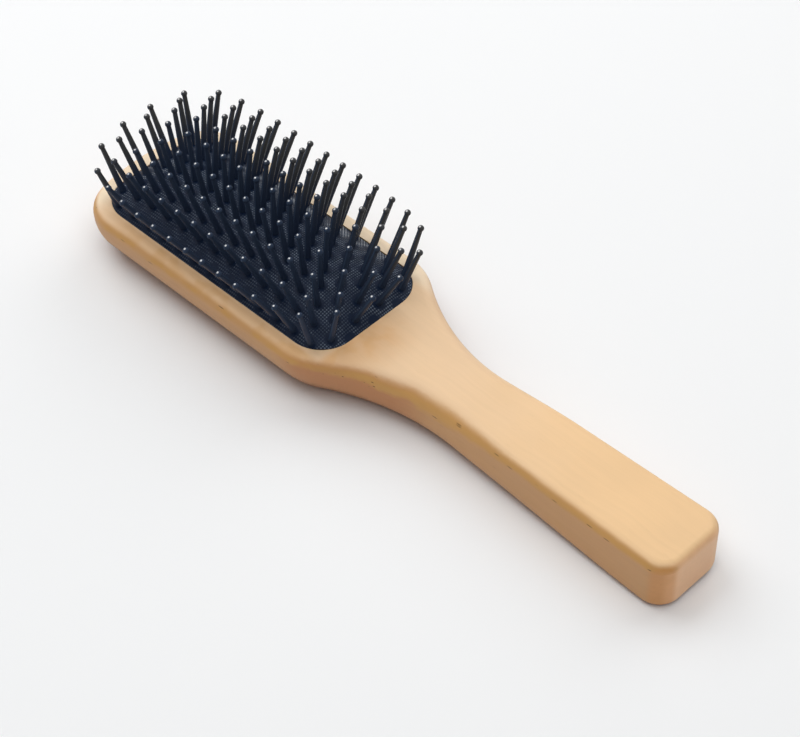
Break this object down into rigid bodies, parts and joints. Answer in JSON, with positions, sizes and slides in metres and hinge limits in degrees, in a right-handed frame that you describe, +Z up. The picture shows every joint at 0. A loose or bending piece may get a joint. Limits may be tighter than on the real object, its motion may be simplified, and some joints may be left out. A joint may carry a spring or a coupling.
{
  "type": "cushion hair brush",
  "caption": "Wooden cushion hair brush: a domed rubber pad glued into a one-piece beech head and handle, with columns of ball-tipped nylon pins that give and spring back.",
  "frame": {"origin": "under the middle of the brush, on the surface its flat back lies on", "axes": "+X along the brush from the head to the handle's end, +Y across it, +Z up from the back to the pins"},
  "size_m": [0.216, 0.057, 0.0415],
  "materials": {
    "beech": "satin, fine sanded",
    "pad_rubber": "moulded weave, satin",
    "nylon": "glossy black",
    "glue": "dried contact glue"
  },
  "bodies": {
    "brush_body": {"wooden_body": "beech", "glue_bead": "glue"},
    "cushion": {"rubber_cushion": "pad_rubber"},
    "pin_column_1": {"column_1_head_pins": "nylon", "column_1_middle_pins": "nylon", "column_1_handle_pins": "nylon"},
    "pin_column_2": {"column_2_head_pins": "nylon", "column_2_middle_pins": "nylon", "column_2_handle_pins": "nylon"},
    "pin_column_3": {"column_3_head_pins": "nylon", "column_3_middle_pins": "nylon", "column_3_handle_pins": "nylon"},
    "pin_column_4": {"column_4_head_pins": "nylon", "column_4_middle_pins": "nylon", "column_4_handle_pins": "nylon"},
    "pin_column_5": {"column_5_head_pins": "nylon", "column_5_middle_pins": "nylon", "column_5_handle_pins": "nylon"},
    "pin_column_6": {"column_6_head_pins": "nylon", "column_6_middle_pins": "nylon", "column_6_handle_pins": "nylon"},
    "pin_column_7": {"column_7_head_pins": "nylon", "column_7_middle_pins": "nylon", "column_7_handle_pins": "nylon"},
    "pin_column_8": {"column_8_head_pins": "nylon", "column_8_middle_pins": "nylon", "column_8_handle_pins": "nylon"},
    "pin_column_9": {"column_9_head_pins": "nylon", "column_9_middle_pins": "nylon", "column_9_handle_pins": "nylon"}
  },
  "joints": [
    {"name": "cushion_press", "type": "slide", "parent": "brush_body", "child": "cushion", "axis": [0, 0, -1], "range_m": [0, 0.0016], "stiffness_N_per_m": 3000, "deforming": ["rubber_cushion"]},
    {"name": "pin_column_1_rock", "type": "hinge", "parent": "cushion", "child": "pin_column_1", "pos_m": [-0.05525, -0.0187, 0.0173], "axis": [1, 0, 0], "range_deg": [-8, 8], "stiffness_Nm_per_rad": 0.2, "deforming": ["rubber_cushion"]},
    {"name": "pin_column_2_rock", "type": "hinge", "parent": "cushion", "child": "pin_column_2", "pos_m": [-0.05525, -0.01402, 0.0194], "axis": [1, 0, 0], "range_deg": [-8, 8], "stiffness_Nm_per_rad": 0.2, "deforming": ["rubber_cushion"]},
    {"name": "pin_column_3_rock", "type": "hinge", "parent": "cushion", "child": "pin_column_3", "pos_m": [-0.05525, -0.00935, 0.0212], "axis": [1, 0, 0], "range_deg": [-8, 8], "stiffness_Nm_per_rad": 0.2, "deforming": ["rubber_cushion"]},
    {"name": "pin_column_4_rock", "type": "hinge", "parent": "cushion", "child": "pin_column_4", "pos_m": [-0.05525, -0.00468, 0.0218], "axis": [1, 0, 0], "range_deg": [-8, 8], "stiffness_Nm_per_rad": 0.2, "deforming": ["rubber_cushion"]},
    {"name": "pin_column_5_rock", "type": "hinge", "parent": "cushion", "child": "pin_column_5", "pos_m": [-0.05525, 0, 0.0225], "axis": [1, 0, 0], "range_deg": [-8, 8], "stiffness_Nm_per_rad": 0.2, "deforming": ["rubber_cushion"]},
    {"name": "pin_column_6_rock", "type": "hinge", "parent": "cushion", "child": "pin_column_6", "pos_m": [-0.05525, 0.00468, 0.0218], "axis": [1, 0, 0], "range_deg": [-8, 8], "stiffness_Nm_per_rad": 0.2, "deforming": ["rubber_cushion"]},
    {"name": "pin_column_7_rock", "type": "hinge", "parent": "cushion", "child": "pin_column_7", "pos_m": [-0.05525, 0.00935, 0.0212], "axis": [1, 0, 0], "range_deg": [-8, 8], "stiffness_Nm_per_rad": 0.2, "deforming": ["rubber_cushion"]},
    {"name": "pin_column_8_rock", "type": "hinge", "parent": "cushion", "child": "pin_column_8", "pos_m": [-0.05525, 0.01402, 0.0194], "axis": [1, 0, 0], "range_deg": [-8, 8], "stiffness_Nm_per_rad": 0.2, "deforming": ["rubber_cushion"]},
    {"name": "pin_column_9_rock", "type": "hinge", "parent": "cushion", "child": "pin_column_9", "pos_m": [-0.05525, 0.0187, 0.0173], "axis": [1, 0, 0], "range_deg": [-8, 8], "stiffness_Nm_per_rad": 0.2, "deforming": ["rubber_cushion"]}
  ]
}
